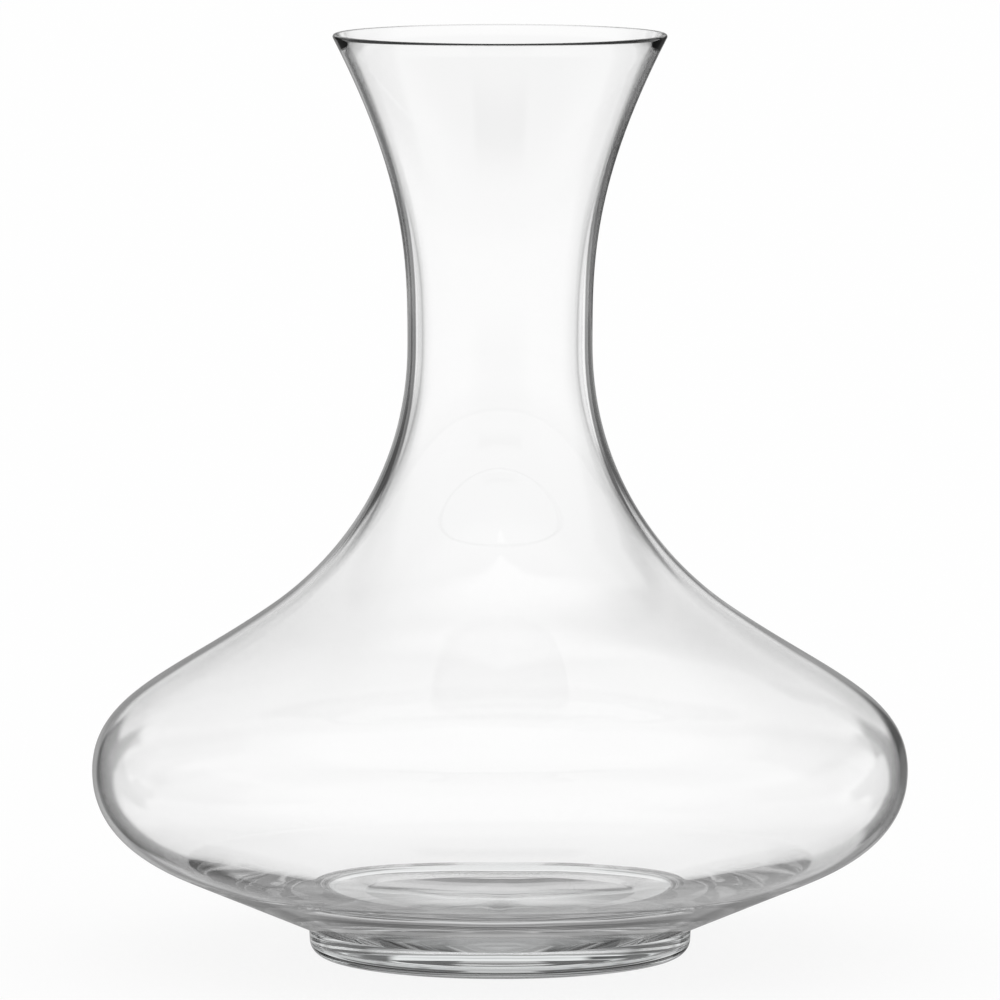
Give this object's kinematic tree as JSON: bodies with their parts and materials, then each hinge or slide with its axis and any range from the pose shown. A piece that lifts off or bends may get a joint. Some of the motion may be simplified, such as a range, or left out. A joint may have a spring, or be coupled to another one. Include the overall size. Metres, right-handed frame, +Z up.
{
  "type": "wine decanter",
  "caption": "Clear glass wine decanter: a wide, low-bellied bowl drawn up into a flared neck, welded onto a heavy round foot.",
  "frame": {"origin": "middle of the ring that the decanter stands on, at the table", "axes": "+Z up along the axis of the bowl; round about Z, so X and Y are any two level directions"},
  "size_m": [0.2034, 0.2034, 0.23],
  "materials": {
    "blown_glass": "clear mouth-blown glass, fire polished",
    "foot_glass": "clear solid glass, fire polished, with soft tooling waves"
  },
  "bodies": {
    "root": {"bowl": "blown_glass", "foot": "foot_glass"}
  },
  "joints": []
}
